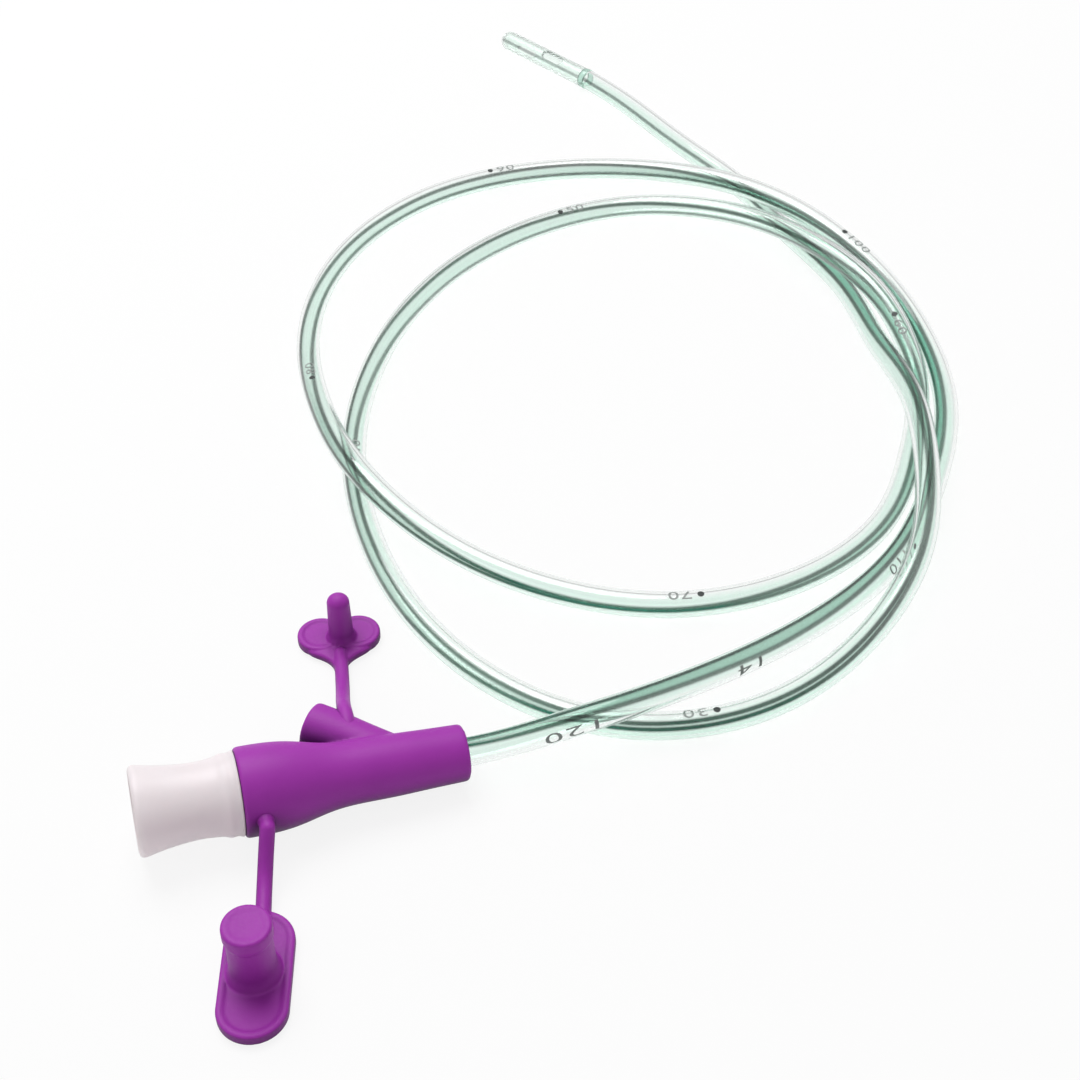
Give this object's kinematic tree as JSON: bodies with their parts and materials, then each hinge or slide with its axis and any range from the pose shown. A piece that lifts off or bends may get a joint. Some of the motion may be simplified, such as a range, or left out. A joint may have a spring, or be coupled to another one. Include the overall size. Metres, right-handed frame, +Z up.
{
  "type": "feeding tube",
  "caption": "Clear enteral feeding tube lying in loops, with a soft Y connector, milky feeding funnel, two tethered caps and a closed tip with side eyes.",
  "frame": {"origin": "centre of the box around the connector, funnel and caps, without the tube and its tip, on the surface it lies on", "axes": "+X along the connector from the funnel to the tube seen from above, +Y to the side port and small cap, +Z up"},
  "size_m": [0.1735, 0.2768, 0.0152],
  "materials": {
    "purple_soft": "soft satin purple plastic",
    "milky_soft": "milky translucent soft plastic",
    "clear_green": "clear soft tube, green tint on one half",
    "joint_band": "bonded joint",
    "tip_mint": "clear pale mint plastic"
  },
  "bodies": {
    "connector": {"connector_body": "purple_soft", "feeding_funnel": "milky_soft", "feeding_tube": "clear_green", "tip_joint": "joint_band", "distal_tip": "tip_mint"},
    "large_cap": {"large_cap": "purple_soft"},
    "small_cap": {"small_cap": "purple_soft"}
  },
  "joints": [
    {"name": "large_cap_lift", "type": "hinge", "parent": "connector", "child": "large_cap", "pos_m": [-0.00679, -0.00842, 0.00776], "axis": [-1, 0, 0], "range_deg": [0, 100]},
    {"name": "small_cap_lift", "type": "hinge", "parent": "connector", "child": "small_cap", "pos_m": [0.01017, 0.0104, 0.00946], "axis": [1, 0, 0], "range_deg": [0, 100]}
  ]
}
